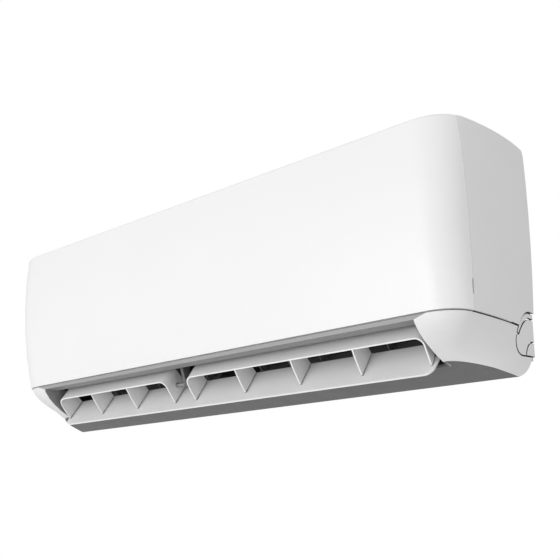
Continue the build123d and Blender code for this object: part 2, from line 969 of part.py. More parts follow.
with BuildPart() as rear_casing:
    add(side_slab(casing_profile.sketch, casing_half))
    with BuildSketch(Plane.XZ.offset(back_plane)):
        with Locations((0, pocket_middle)):
            with GridLocations(pocket_x, 0, pocket_count, 1):
                Rectangle(pocket_width, pocket_top - pocket_bottom)
    extrude(amount=pocket_depth, mode=Mode.SUBTRACT)
    slot_bottom = hook_height - hook_slot_drop
    with Locations((-hook_position, 0, slot_bottom), (hook_position, 0, slot_bottom)):
        slot_height = hook_slot_drop + plate_sheet
        slot_place = (Align.CENTER, Align.MAX, Align.MIN)
        Box(hook_room, hook_reach + lap, slot_height, align=slot_place, mode=Mode.SUBTRACT)
    add(mirrored_slabs(end_profile, casing_half, casing_half + end_sheet))
    add(mirrored_slabs(pad_profile, coil_half - pocket_rib, casing_half))
    shaft_room = side_circle(fan_depth, fan_height, shaft_hole)
    add(extrude(shaft_room, amount=span / 2, mode=Mode.PRIVATE), mode=Mode.SUBTRACT)
    bearing_seat = side_circle(fan_depth, fan_height, bearing_radius)
    add(extrude(bearing_seat, amount=-span / 2, mode=Mode.PRIVATE), mode=Mode.SUBTRACT)
    gas_hole = side_circle(gas_start_depth, gas_start_height, gas_radius + pipe_gap)
    liquid_hole = side_circle(liquid_depth, liquid_height, liquid_radius + pipe_gap)
    for hole in (gas_hole, liquid_hole):
        add(extrude(hole, amount=span / 2, mode=Mode.PRIVATE), mode=Mode.SUBTRACT)

# ---- drain pan with the fan's stabiliser
with BuildPart() as drain_pan:
    pan_profile = side_profile(
        (pan_front, pan_nose_height),
        (pan_belly_depth, pan_belly_height),
        (tongue_low_depth, tongue_low_height),
        (tongue_tip_depth, tongue_tip_height),
        (tongue_top_depth, tongue_top_height),
        (pan_back - shell, tongue_low_height),
        (pan_back, pan_floor),
        (pan_front - pan_wall, pan_floor),
        (pan_front - pan_wall, pan_rim),
        (pan_front, pan_rim),
    )
    add(side_slab(pan_profile, casing_half))
    pan_end = side_box(pan_back, pan_front, pan_floor, pan_rim)
    add(mirrored_slabs(pan_end, casing_half - end_sheet, casing_half))

# ---- evaporator: three finned slabs and their hairpin bends
with BuildPart() as coil_front:
    slab_back = coil_front_depth - coil_sheet / 2
    front_slab = side_box(slab_back, slab_back + coil_sheet, pan_floor, coil_front_top)
    add(side_slab(front_slab, coil_half))


def slab_plane(low, high):
    """A plane in a coil slab's middle: x up the slab, y across it, z along the unit."""
    rise = (low[0] - high[0], high[1] - low[1])
    middle = ((low[0] + high[0]) / 2, (low[1] + high[1]) / 2)
    return Plane(origin=(0, -middle[0], middle[1]), x_dir=(0, rise[0], rise[1]), z_dir=(1, 0, 0))


def slab_length(low, high):
    """Length of a coil slab between the middles of its two ends."""
    return math.hypot(low[0] - high[0], high[1] - low[1])


front_ends = ((coil_front_depth, pan_floor), (coil_front_depth, coil_front_top))
upper_ends = ((coil_low_depth, coil_low_height), (coil_ridge_depth, coil_ridge_height))
rear_ends = ((coil_foot_depth, coil_foot_height), (coil_back_depth, coil_back_height))

with BuildPart() as coil_upper:
    with BuildSketch(slab_plane(*upper_ends)):
        Rectangle(slab_length(*upper_ends), coil_sheet)
    extrude(amount=coil_half, both=True)

with BuildPart() as coil_rear:
    with BuildSketch(slab_plane(*rear_ends)):
        Rectangle(slab_length(*rear_ends), coil_sheet)
    extrude(amount=coil_half, both=True)

with BuildPart() as bend_form:
    with BuildSketch(Plane.XZ):
        RegularPolygon((bend_pitch + bend_tube) / 2, bend_sides)
        RegularPolygon((bend_pitch - bend_tube) / 2, bend_sides, mode=Mode.SUBTRACT)
        Rectangle(far, far, align=(Align.CENTER, Align.MAX), mode=Mode.SUBTRACT)
    extrude(amount=bend_tube / 2, both=True)

with BuildPart() as coil_bends:
    for ends in (front_ends, upper_ends, rear_ends):
        count = int(slab_length(*ends) / (2 * bend_pitch) + 1 / 2)
        with Locations(slab_plane(*ends)):
            with GridLocations(slab_length(*ends) / count, 0, count, 1):
                with Locations((0, 0, coil_half)):
                    add(bend_form.part)
                with Locations(Location((0, 0, -coil_half), (180, 0, 0))):
                    add(bend_form.part)

# ---- cross-flow fan wheel
with BuildSketch(Plane.YZ) as blade_profile:
    lean = math.radians(blade_lean)
    middle = lean / 2
    half_sheet = blade_sheet / 2
    tip = (blade_tip * math.cos(lean), blade_tip * math.sin(lean))
    belly_radius = (blade_root + blade_tip) / 2
    belly_angle = middle - blade_belly / belly_radius
    belly = (belly_radius * math.cos(belly_angle), belly_radius * math.sin(belly_angle))
    with BuildLine():
        Polyline(
            (blade_root, -half_sheet / 2),
            (belly[0], belly[1] - half_sheet),
            (tip[0], tip[1] - half_sheet / 2),
            (tip[0], tip[1] + half_sheet / 2),
            (belly[0], belly[1] + half_sheet),
            (blade_root, half_sheet / 2),
            close=True,
        )
    make_face()

fan_axis = (0, -fan_depth, fan_height)
wheel_plane = Plane(origin=fan_axis, x_dir=(0, 1, 0), z_dir=(1, 0, 0))
bay = (2 * fan_half - disc_sheet) / fan_bays

with BuildPart() as fan_wheel:
    with BuildSketch(wheel_plane.offset(-fan_half)):
        with PolarLocations(0, blade_count):
            add(blade_profile.sketch)
    extrude(amount=2 * fan_half)
    for step in range(fan_bays + 1):
        with BuildSketch(wheel_plane.offset(step * bay - fan_half)):
            RegularPolygon(fan_radius, wheel_sides)
            if 0 < step < fan_bays:
                RegularPolygon(ring_inner, wheel_sides, mode=Mode.SUBTRACT)
        extrude(amount=disc_sheet)
    with BuildSketch(wheel_plane.offset(fan_half - hub_length)):
        Circle(hub_radius)
    extrude(amount=hub_length)
    with BuildSketch(wheel_plane.offset(fan_half - hub_length)):
        Circle(shaft_radius + pin_gap)
    extrude(amount=hub_length, mode=Mode.SUBTRACT)
    with BuildSketch(wheel_plane.offset(-casing_half - bearing_length / 2)):
        Circle(shaft_radius)
    extrude(amount=casing_half + bearing_length / 2 - fan_half)

with BuildPart() as fan_bearing:
    with BuildSketch(wheel_plane.offset(-casing_half - bearing_length)):
        Circle(bearing_radius)
        Circle(shaft_radius + pin_gap, mode=Mode.SUBTRACT)
    extrude(amount=bearing_length)

motor_start = casing_half + end_sheet
with BuildPart() as fan_motor:
    with BuildSketch(wheel_plane.offset(motor_start)):
        RegularPolygon(motor_radius, wheel_sides)
    extrude(amount=motor_length)
    chamfer(fan_motor.faces().sort_by(Axis.X)[-1].edges(), length=motor_round)
    with BuildSketch(wheel_plane.offset(fan_half - hub_length + lap)):
        Circle(shaft_radius)
    extrude(amount=motor_start - fan_half + hub_length - lap)

# ---- flap: louver plate with two hoods, on one long hinge
flap_cos = math.cos(math.radians(flap_angle))
flap_sin = math.sin(math.radians(flap_angle))
flap_origin = (0, -flap_front_depth, flap_front_height)
flap_plane = Plane(origin=flap_origin, x_dir=(1, 0, 0), z_dir=(0, -flap_sin, flap_cos))
pivot_y = flap_front_depth - pivot_depth
pivot_z = pivot_height - flap_front_height
pivot_along = pivot_y * flap_cos + pivot_z * flap_sin
pivot_above = pivot_z * flap_cos - pivot_y * flap_sin


def flap_side(start):
    """A plane across the flap at X = start: x back along the plate, y up from it."""
    place = (start, -flap_front_depth, flap_front_height)
    return Plane(origin=place, x_dir=(0, flap_cos, flap_sin), z_dir=(1, 0, 0))


def flap_section(along):
    """A plane facing the flap's front edge: x along the unit, y up from the plate."""
    place = (0, along * flap_cos - flap_front_depth, flap_front_height + along * flap_sin)
    return Plane(origin=place, x_dir=(1, 0, 0), z_dir=(0, -flap_cos, -flap_sin))


with BuildSketch(flap_side(0)) as ear_profile:
    with Locations((pivot_along, pivot_above)):
        Circle(ear_eye)
    with BuildLine():
        Polyline(
            (pivot_along - ear_foot, -flap_sheet / 2),
            (pivot_along - ear_eye, pivot_above),
            (pivot_along + ear_eye, pivot_above),
            (pivot_along + ear_foot, -flap_sheet / 2),
            close=True,
        )
    make_face()

with BuildPart() as louver_plate:
    with BuildSketch(flap_plane):
        with BuildLine():
            Polyline(
                (-flap_front_half, 0),
                (flap_front_half, 0),
                (flap_rear_half, flap_width),
                (-flap_rear_half, flap_width),
                close=True,
            )
        make_face()
    extrude(amount=-flap_sheet)
    front_corners = louver_plate.edges().filter_by(Axis(flap_origin, tuple(flap_plane.z_dir)))
    fillet(front_corners.sort_by(Axis.Z)[:2], radius=flap_corner)
    ears = mirrored_slabs(ear_profile.sketch, ear_half - ear_sheet, ear_half)
    add(ears)
    pivot_circle = side_circle(pivot_depth, pivot_height, flap_pin)
    left_pin, right_pin = mirrored_slabs(pivot_circle, ear_half, flap_pin_end)[::-1]
    add([left_pin, right_pin])
    drive_pin = extrude(pivot_circle, amount=flap_drive_end - flap_pin_end, mode=Mode.PRIVATE)
    add(drive_pin.moved(Location((flap_pin_end, 0, 0))))

with BuildSketch(flap_side(0)) as cell_profile:
    with BuildLine():
        Line((hood_toe, 0), (hood_toe + foot_length, 0))
        Line((hood_toe + foot_length, 0), (hood_toe + foot_length + foot_gap, foot_gap))
        Line((hood_toe + foot_length + foot_gap, foot_gap), (hood_back, foot_gap))
        Line((hood_back, foot_gap), (hood_back, hood_height))
        Line((hood_back, hood_height), (hood_rim, hood_height))
        ThreePointArc((hood_rim, hood_height), (hood_belly, hood_height / 2), (hood_toe, 0))
    make_face()


def hood(left, right, cells):
    """One hood: a rounded arch over a row of air cells parted by thin fins."""
    middle = (left + right) / 2
    width = right - left
    pitch = (width - hood_sheet) / cells
    with BuildPart() as moulding:
        with BuildSketch(flap_section(hood_back)):
            with Locations((middle, 0)):
                base = Rectangle(width, hood_height, align=(Align.CENTER, Align.MIN))
            tops = base.vertices().sort_by(Axis.Y)[-2:]
            fillet(tops, radius=hood_corner)
            inside = offset(amount=-hood_sheet, mode=Mode.PRIVATE)
            add(inside, mode=Mode.SUBTRACT)
            with Locations((middle, 0)):
                foot = (width - 2 * hood_sheet, 2 * hood_sheet)
                Rectangle(*foot, align=(Align.CENTER, Align.MIN), mode=Mode.SUBTRACT)
        extrude(amount=hood_back)
        for step in range(1, cells):
            with BuildSketch(flap_section(hood_back)):
                with Locations((left + hood_sheet / 2 + step * pitch, 0)):
                    fin_height = hood_height - hood_sheet / 2
                    Rectangle(hood_sheet, fin_height, align=(Align.CENTER, Align.MIN))
            extrude(amount=hood_back)
        add(side_slab(cell_profile.sketch), mode=Mode.INTERSECT)
    return moulding.part


with BuildPart() as louver_hood_left:
    add(hood(left_hood_left, left_hood_right, left_cells))

with BuildPart() as louver_hood_right:
    add(hood(right_hood_left, right_hood_right, right_cells))

with BuildPart() as louver_pin:
    with BuildSketch(Plane.YZ.offset(left_hood_right)):
        with Locations(yz(pivot_depth, pivot_height)):
            Circle(flap_pin)
    extrude(amount=right_hood_left - left_hood_right)

with BuildSketch(Plane.YZ.offset(arm_position - arm_sheet / 2)) as arm_profile:
    with BuildLine():
        Polyline(
            yz(pivot_depth - arm_eye, pivot_height),
            yz(pivot_depth + arm_eye, pivot_height),
            yz(end_front - lap, pan_belly_height),
            yz(arm_top_depth, arm_top_height),
            close=True,
        )
    make_face()
    with Locations(yz(pivot_depth, pivot_height)):
        Circle(arm_eye)
        Circle(flap_pin + pin_gap, mode=Mode.SUBTRACT)

with BuildPart() as louver_mid_arm:
    extrude(arm_profile.sketch, amount=arm_sheet)
    add(side_slab(pan_profile), mode=Mode.SUBTRACT)

with BuildPart() as louver_motor:
    with BuildSketch(Plane.YZ.offset(boss_end)):
        with Locations(yz(pivot_depth, pivot_height)):
            Circle(drive_radius)
    extrude(amount=drive_end - boss_end)
    with BuildSketch(Plane.YZ.offset(boss_end)):
        with Locations(yz(pivot_depth, pivot_height)):
            Circle(flap_pin + pin_gap)
    extrude(amount=flap_drive_end + lap - boss_end, mode=Mode.SUBTRACT)

# ---- vertical vanes on the scroll's floor, in two linked groups
floor_run = lip_depth - scroll_low_depth
floor_rise = scroll_low_height - lip_height
floor_length = math.hypot(floor_run, floor_rise)
floor_y = floor_run / floor_length
floor_z = floor_rise / floor_length
vane_low = strip_sheet + slide_gap
vane_top = vane_low + vane_height
link_low = vane_top + slide_gap
link_station = vane_station + peg_offset


def floor_plane(lift):
    """A plane over the scroll's floor: x along the unit, y up the floor."""
    depth = lip_depth + lift * floor_z
    place = (0, -depth, lip_height + lift * floor_y)
    return Plane(origin=place, x_dir=(1, 0, 0), z_dir=(0, -floor_z, floor_y))


def vane_positions(side):
    """Stations of one group of vanes; side is -1 on the left and 1 on the right."""
    first = vane_first if side > 0 else -vane_first - (vane_count - 1) * vane_pitch
    return [first + step * vane_pitch for step in range(vane_count)]


def floor_peg(station, along, low, high):
    """A peg standing on the scroll's floor: round, with four flats."""
    with BuildSketch(floor_plane(low)) as sketch:
        with Locations((station, along)):
            Circle(vane_peg)
            Rectangle(peg_flats, peg_flats, mode=Mode.INTERSECT)
    return extrude(sketch.sketch, amount=high - low, mode=Mode.PRIVATE)


def vane(station):
    """One vane: blade, round foot with its pivot pin, and the link's peg on top."""
    with BuildPart() as moulding:
        with BuildSketch(floor_plane(vane_low)):
            with Locations((station, vane_station)):
                Rectangle(vane_sheet, vane_chord)
        extrude(amount=vane_height)
        rear_edges = moulding.edges().filter_by(Axis.X).sort_by(Axis.Z)
        chamfer(rear_edges[0], length=vane_round)
        with BuildSketch(floor_plane(vane_low)):
            with Locations((station, vane_station)):
                RegularPolygon(vane_foot, peg_sides)
        extrude(amount=vane_sheet)
        add(floor_peg(station, vane_station, slide_gap, vane_low))
        peg_low = vane_top - vane_sheet
        add(floor_peg(station, link_station, peg_low, link_low + link_sheet))
    return moulding.part


def strip(side):
    """The base strip that holds one group's pivots."""
    stations = vane_positions(side)
    middle = (stations[0] + stations[-1]) / 2
    length = stations[-1] - stations[0] + 2 * strip_margin
    with BuildPart() as moulding:
        with BuildSketch(floor_plane(0)):
            with Locations((middle, vane_station)):
                Rectangle(length, strip_width)
            with Locations(*[(station, vane_station) for station in stations]):
                peg_room = vane_peg + pin_gap
                RegularPolygon(peg_room, peg_sides, major_radius=False, mode=Mode.SUBTRACT)
        extrude(amount=strip_sheet)
    return moulding.part


def link(side):
    """The bar that joins the pegs of one group."""
    stations = vane_positions(side)
    middle = (stations[0] + stations[-1]) / 2
    length = stations[-1] - stations[0] + 2 * link_margin
    with BuildPart() as moulding:
        with BuildSketch(floor_plane(link_low)):
            with Locations((middle, link_station)):
                Rectangle(length, link_width)
            with Locations(*[(station, link_station) for station in stations]):
                peg_room = vane_peg + pin_gap
                RegularPolygon(peg_room, peg_sides, major_radius=False, mode=Mode.SUBTRACT)
        extrude(amount=link_sheet)
    return moulding.part


with BuildPart() as vane_base_left:
    add(strip(-1))

with BuildPart() as vane_base_right:
    add(strip(1))

with BuildPart() as vane_bar_left:
    add(link(-1))

with BuildPart() as vane_bar_right:
    add(link(1))

# ---- filters, one frame of ribs over a fine mesh each
with BuildPart() as filter_right:
    filter_width = filter_outer - filter_inner
    filter_rise = filter_top - filter_bottom
    filter_middle = ((filter_inner + filter_outer) / 2, (filter_bottom + filter_top) / 2)
    bay_x = filter_width / filter_columns
    bay_z = filter_rise / filter_rows
    with BuildSketch(Plane.XZ.offset(filter_plane - filter_sheet / 2)):
        with Locations(filter_middle):
            Rectangle(filter_width, filter_rise)
            Rectangle(
                filter_width - 2 * filter_border, filter_rise - 2 * filter_border, mode=Mode.SUBTRACT
            )
            with GridLocations(bay_x, 0, filter_columns - 1, 1):
                Rectangle(filter_rib, filter_rise)
            with GridLocations(0, bay_z, 1, filter_rows - 1):
                Rectangle(filter_width, filter_rib)
    extrude(amount=filter_sheet)
    with BuildSketch(Plane.XZ.offset(filter_plane - mesh_sheet / 2)):
        with Locations(filter_middle):
            Rectangle(filter_width - filter_border, filter_rise - filter_border)
    extrude(amount=mesh_sheet)

with BuildPart() as filter_left:
    add(filter_right.part.mirror(Plane.YZ))

# ---- wall plate
plate_middle = (plate_bottom + plate_top) / 2
with BuildSketch() as window:
    Rectangle(window_width, window_height)
    chamfer(window.vertices(), length=window_corner)

with BuildPart() as wall_plate:
    with BuildSketch(Plane.XZ):
        with Locations((0, plate_middle)):
            Rectangle(2 * plate_half, plate_top - plate_bottom)
            with GridLocations(screw_spacing_x, screw_spacing_z, 2, 2):
                Circle(wall_screw, mode=Mode.SUBTRACT)
            with GridLocations(hook_position, 0, window_count, 1):
                add(window.sketch, mode=Mode.SUBTRACT)
    extrude(amount=plate_sheet)
    for side in (-hook_position, hook_position):
        hook_place = (Align.CENTER, Align.MAX, Align.MIN)
        with Locations((side, 0, hook_height)):
            Box(hook_width, hook_reach, plate_sheet, align=hook_place)
        with Locations((side, plate_sheet - hook_reach, hook_height)):
            Box(hook_width, plate_sheet, hook_rise, align=hook_place)

# ---- refrigerant pipes, behind the casing
def pipe(points, radius, nut, nut_bore):
    """A bent tube that ends in a flare nut with its axis along the unit."""
    end = points[-1]
    with BuildPart() as tube:
        with BuildLine() as path:
            FilletPolyline(*points, radius=pipe_bend)
        with BuildSketch(Plane(origin=points[0], z_dir=(1, 0, 0))):
            RegularPolygon(radius, pipe_sides)
        sweep(path=path.line)
        with BuildSketch(Plane(origin=end, x_dir=(0, 1, 0), z_dir=(-1, 0, 0))):
            RegularPolygon(nut, 6)
        extrude(amount=nut_length)
        nut_end = (end[0] - nut_length, end[1], end[2])
        with BuildSketch(Plane(origin=nut_end, x_dir=(0, 1, 0), z_dir=(1, 0, 0))):
            Circle(nut_bore)
        extrude(amount=nut_bore_depth, mode=Mode.SUBTRACT)
    return tube.part


with BuildPart() as gas_pipe:
    gas_points = [
        (coil_half, -gas_start_depth, gas_start_height),
        (gas_column, -gas_start_depth, gas_start_height),
        (gas_column, -gas_depth, gas_start_height - gas_drop),
        (gas_column, -gas_depth, gas_run_height),
        (gas_end, -gas_depth, gas_run_height),
    ]
    add(pipe(gas_points, gas_radius, gas_nut, gas_bore))

with BuildPart() as liquid_pipe:
    liquid_points = [
        (coil_half, -liquid_depth, liquid_height),
        (liquid_column, -liquid_depth, liquid_height),
        (liquid_column, -liquid_depth, liquid_run_height),
        (liquid_end, -liquid_depth, liquid_run_height),
    ]
    add(pipe(liquid_points, liquid_radius, liquid_nut, liquid_bore))

with BuildPart() as drain_spigot:
    spigot_place = (spigot_position, -duct_depth, spigot_height)
    with BuildSketch(Plane(origin=spigot_place, z_dir=(0, 1, 0))):
        Circle(spigot_radius)
        Circle(spigot_bore, mode=Mode.SUBTRACT)
    extrude(amount=spigot_length)

# ---- control box
box_depth = box_front - box_back
box_rise = box_top - box_bottom
box_middle = (0, -(box_front + box_back) / 2, (box_bottom + box_top) / 2)
centred = (Align.MIN, Align.CENTER, Align.CENTER)

with BuildPart() as control_box:
    with Locations((motor_start, box_middle[1], box_middle[2])):
        Box(box_end - motor_start, box_depth, box_rise, align=centred)
    with Locations((motor_start + box_sheet, box_middle[1], box_middle[2])):
        inside_size = (box_end, box_depth - 2 * box_sheet, box_rise - 2 * box_sheet)
        Box(*inside_size, align=centred, mode=Mode.SUBTRACT)
    with Locations((motor_start, box_middle[1], box_middle[2])):
        with GridLocations(0, box_depth / 2, 1, 2):
            stud_size = (board_lift + box_sheet, board_margin, board_margin)
            Box(*stud_size, align=centred)

with BuildPart() as control_cover:
    with Locations((box_end, box_middle[1], box_middle[2])):
        Box(box_sheet, box_depth, box_rise, align=centred)

board_start = motor_start + box_sheet + board_lift
with BuildPart() as control_board:
    with Locations((board_start, box_middle[1], box_middle[2])):
        board_size = (box_depth - 2 * board_margin, box_rise - 2 * board_margin)
        Box(board_sheet, *board_size, align=centred)
        with Locations((board_sheet, -block_length / 2, block_height)):
            Box(relay_size, relay_size, relay_height, align=centred)
        with Locations((board_sheet, relay_size / 2, block_height)):
            Box(relay_height, relay_size, relay_size, align=centred)

with BuildPart() as terminal_block:
    block_low = box_middle[2] - box_rise / 4
    with Locations((board_start + board_sheet, box_middle[1], block_low)):
        Box(block_height, block_length, block_height, align=centred)
        with Locations((block_height - block_groove, 0, 0)):
            with GridLocations(0, block_length / (block_ways + 1), 1, block_ways):
                groove_size = (block_height, board_margin, board_margin)
                Box(*groove_size, align=centred, mode=Mode.SUBTRACT)

# ---- screws
with BuildPart() as box_screws:
    with BuildSketch(Plane.YZ.offset(box_end + box_sheet)):
        with Locations((box_middle[1], box_middle[2])):
            with GridLocations(box_depth - screw_margin, box_rise - screw_margin, 2, 2):
                RegularPolygon(screw_head, screw_sides)
    extrude(amount=screw_rise)

with BuildPart() as bar_screws:
    bar_middle = (bar_bottom + filter_bottom) / 2
    with BuildSketch(Plane.XZ.offset(bar_front)):
        with Locations((0, bar_middle)):
            with GridLocations(screw_spacing_x, 0, 2, 1):
                RegularPolygon(screw_head, screw_sides)
    extrude(amount=screw_rise)

pieces = {
    "wall_plate": wall_plate,
    "rear_casing": rear_casing,
    "base_cover": base_cover,
    "lower_housing": lower_housing,
    "face_frame": face_frame,
    "front_panel": front_panel,
    "knockout_outer": knockout_outer,
    "knockout_inner": knockout_inner,
    "knockout_small": knockout_small,
    "knockout_left": knockout_left,
    "drain_pan": drain_pan,
    "drain_spigot": drain_spigot,
    "coil_front": coil_front,
    "coil_upper": coil_upper,
    "coil_rear": coil_rear,
    "coil_bends": coil_bends,
    "gas_pipe": gas_pipe,
    "liquid_pipe": liquid_pipe,
    "fan_wheel": fan_wheel,
    "fan_bearing": fan_bearing,
    "fan_motor": fan_motor,
    "filter_left": filter_left,
    "filter_right": filter_right,
    "louver_plate": louver_plate,
    "louver_hood_left": louver_hood_left,
    "louver_hood_right": louver_hood_right,
    "louver_pin": louver_pin,
    "louver_mid_arm": louver_mid_arm,
    "louver_motor": louver_motor,
    "vane_base_left": vane_base_left,
    "vane_base_right": vane_base_right,
    "vane_bar_left": vane_bar_left,
    "vane_bar_right": vane_bar_right,
    "control_box": control_box,
    "control_cover": control_cover,
    "control_board": control_board,
    "terminal_block": terminal_block,
    "box_screws": box_screws,
    "bar_screws": bar_screws,
}

for group, side in (("left", -1), ("right", 1)):
    for number, station in enumerate(vane_positions(side), start=1):
        with BuildPart() as vane_piece:
            add(vane(station))
        pieces[f"vane_{group}_{number}"] = vane_piece

for name, piece in pieces.items():
    placed = piece.part.moved(Location((0, 0, -plate_middle)))
    placed.label = name
    export_step(placed, f"parts/{name}.step")
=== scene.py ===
import json
import math

import bpy
from mathutils import Matrix, Vector


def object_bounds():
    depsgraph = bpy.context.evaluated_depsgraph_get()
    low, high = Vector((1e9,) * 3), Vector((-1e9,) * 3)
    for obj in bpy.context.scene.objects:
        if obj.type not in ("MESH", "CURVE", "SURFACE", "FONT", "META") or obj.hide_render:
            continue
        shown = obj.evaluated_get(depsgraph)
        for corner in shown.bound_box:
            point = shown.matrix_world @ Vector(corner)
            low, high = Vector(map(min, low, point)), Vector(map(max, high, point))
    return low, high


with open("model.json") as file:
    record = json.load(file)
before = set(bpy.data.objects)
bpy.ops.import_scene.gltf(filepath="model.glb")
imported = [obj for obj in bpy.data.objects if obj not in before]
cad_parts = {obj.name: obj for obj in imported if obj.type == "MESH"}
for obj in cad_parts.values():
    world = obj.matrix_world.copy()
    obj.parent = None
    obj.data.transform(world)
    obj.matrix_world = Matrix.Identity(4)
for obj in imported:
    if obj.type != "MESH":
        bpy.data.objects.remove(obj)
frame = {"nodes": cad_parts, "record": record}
nodes = frame["nodes"]
rest_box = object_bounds()

# ---------------------------------------------------------------- materials


def new_material(name):
    """An empty node material and its Principled shader."""
    material = bpy.data.materials.new(name)
    material.use_nodes = True
    shader = material.node_tree.nodes["Principled BSDF"]
    return material, shader


def link(material, source, target):
    material.node_tree.links.new(source, target)


def add_node(material, kind, **settings):
    """A shader node with its inputs or properties set by name."""
    node = material.node_tree.nodes.new(kind)
    for key, value in settings.items():
        if key in node.inputs:
            node.inputs[key].default_value = value
        else:
            setattr(node, key.lower(), value)
    return node


def object_coordinates(material):
    return add_node(material, "ShaderNodeTexCoord").outputs["Object"]


def noise(material, scale, detail=4.0, roughness=0.55):
    """Noise over the object's own coordinates, which are metres."""
    texture = add_node(material, "ShaderNodeTexNoise", Scale=scale, Detail=detail)
    texture.inputs["Roughness"].default_value = roughness
    link(material, object_coordinates(material), texture.inputs["Vector"])
    return texture.outputs["Fac"]


def ramp(material, source, low, high, start=0.3, end=0.7):
    """A value between low and high as source goes from start to end."""
    scaled = add_node(material, "ShaderNodeMapRange")
    scaled.inputs["From Min"].default_value = start
    scaled.inputs["From Max"].default_value = end
    scaled.inputs["To Min"].default_value = low
    scaled.inputs["To Max"].default_value = high
    link(material, source, scaled.inputs["Value"])
    return scaled.outputs["Result"]


def tint(material, source, dark, light):
    """A colour between dark and light, driven by source. Light may be a socket.

    The node has sockets for each kind of value, and these are the ones for colour.
    """
    mixer = add_node(material, "ShaderNodeMix", data_type="RGBA")
    factor, first, second = mixer.inputs[0], mixer.inputs[6], mixer.inputs[7]
    first.default_value = (*dark, 1.0)
    if isinstance(light, bpy.types.NodeSocket):
        link(material, light, second)
    else:
        second.default_value = (*light, 1.0)
    link(material, source, factor)
    return mixer.outputs[2]


def bump(material, shader, source, strength, distance):
    """Relief of the given depth, in metres."""
    relief = add_node(material, "ShaderNodeBump")
    relief.inputs["Strength"].default_value = strength
    relief.inputs["Distance"].default_value = distance
    link(material, source, relief.inputs["Height"])
    link(material, relief.outputs["Normal"], shader.inputs["Normal"])


def painted_corner_shade(material, base, reach):
    """Painted shade: the colour darkened toward grey in inner corners, within the reach in metres.
    """
    corners = add_node(material, "ShaderNodeAmbientOcclusion", Distance=reach, samples=16)
    openness = ramp(material, corners.outputs["AO"], 0.0, 1.0, start=0.55, end=0.8)
    return tint(material, openness, dark=(0.12, 0.12, 0.12), light=base)


def plastic(name, colour, roughness, grain=0.00004, spread=0.03, painted_shade_width=None):
    """Moulded plastic: faint mottling, uneven gloss and a fine spark-eroded grain.

    A painted shade width is the width, in metres, of the painted shade that draws a dark line in
    its inner corners.
    """
    material, shader = new_material(name)
    broad = noise(material, scale=9.0, detail=3.0)
    dark = tuple(channel * (1 - spread) for channel in colour)
    base = tint(material, ramp(material, broad, 0.0, 1.0), dark, colour)
    # Painted shade: a dark line in the inner corners, from how closed in they are.
    if painted_shade_width:
        base = painted_corner_shade(material, base, painted_shade_width)
    link(material, base, shader.inputs["Base Color"])
    gloss = ramp(material, noise(material, scale=60.0), roughness - 0.04, roughness + 0.04)
    link(material, gloss, shader.inputs["Roughness"])
    bump(material, shader, noise(material, scale=1800.0, detail=2.0), strength=0.5, distance=grain)
    return material


def metal(name, colour, roughness):
    """Sheet or drawn metal: patches of tone and gloss over a fine grain."""
    material, shader = new_material(name)
    shader.inputs["Metallic"].default_value = 1.0
    patches = noise(material, scale=140.0, detail=5.0)
    dark = tuple(channel * 0.8 for channel in colour)
    base = tint(material, ramp(material, patches, 0.0, 1.0), dark, colour)
    link(material, base, shader.inputs["Base Color"])
    gloss = ramp(material, patches, roughness - 0.08, roughness + 0.1)
    link(material, gloss, shader.inputs["Roughness"])
    bump(material, shader, noise(material, scale=900.0), strength=0.4, distance=0.00003)
    return material


def bands(material, axis, pitch):
    """Stripes across one axis, 0 to 1, with the given pitch in metres."""
    split = add_node(material, "ShaderNodeSeparateXYZ")
    link(material, object_coordinates(material), split.inputs[0])
    turn = add_node(material, "ShaderNodeMath", operation="MULTIPLY")
    turn.inputs[1].default_value = 2.0 * math.pi / pitch
    link(material, split.outputs[axis], turn.inputs[0])
    wave = add_node(material, "ShaderNodeMath", operation="SINE")
    link(material, turn.outputs[0], wave.inputs[0])
    half = add_node(material, "ShaderNodeMath", operation="MULTIPLY_ADD")
    half.inputs[1].default_value = 0.5
    half.inputs[2].default_value = 0.5
    link(material, wave.outputs[0], half.inputs[0])
    return half.outputs[0]


def finned_aluminium(name):
    """The coil's stack of thin fins, drawn as close stripes along the unit."""
    material, shader = new_material(name)
    fins = bands(material, "X", pitch=0.0016)
    base = tint(material, fins, dark=(0.12, 0.13, 0.14), light=(0.72, 0.75, 0.78))
    link(material, base, shader.inputs["Base Color"])
    shader.inputs["Metallic"].default_value = 0.7
    shader.inputs["Roughness"].default_value = 0.38
    bump(material, shader, fins, strength=0.8, distance=0.0006)
    return material


def filter_cloth(name):
    """A woven mesh over the filter's ribs."""
    material, shader = new_material(name)
    weave = add_node(material, "ShaderNodeMath", operation="MINIMUM")
    for slot, axis in enumerate("XZ"):
        link(material, bands(material, axis, pitch=0.0018), weave.inputs[slot])
    base = tint(material, weave.outputs[0], dark=(0.14, 0.2, 0.26), light=(0.3, 0.4, 0.48))
    link(material, base, shader.inputs["Base Color"])
    shader.inputs["Roughness"].default_value = 0.7
    bump(material, shader, weave.outputs[0], strength=0.6, distance=0.0003)
    return material


def circuit_board(name):
    """Green solder mask with pale tracks."""
    material, shader = new_material(name)
    cells = add_node(material, "ShaderNodeTexVoronoi", Scale=260.0)
    link(material, object_coordinates(material), cells.inputs["Vector"])
    mask, tracks = (0.05, 0.22, 0.1), (0.16, 0.42, 0.22)
    base = tint(material, cells.outputs["Distance"], mask, tracks)
    link(material, base, shader.inputs["Base Color"])
    shader.inputs["Roughness"].default_value = 0.4
    bump(material, shader, cells.outputs["Distance"], strength=0.4, distance=0.0001)
    return material


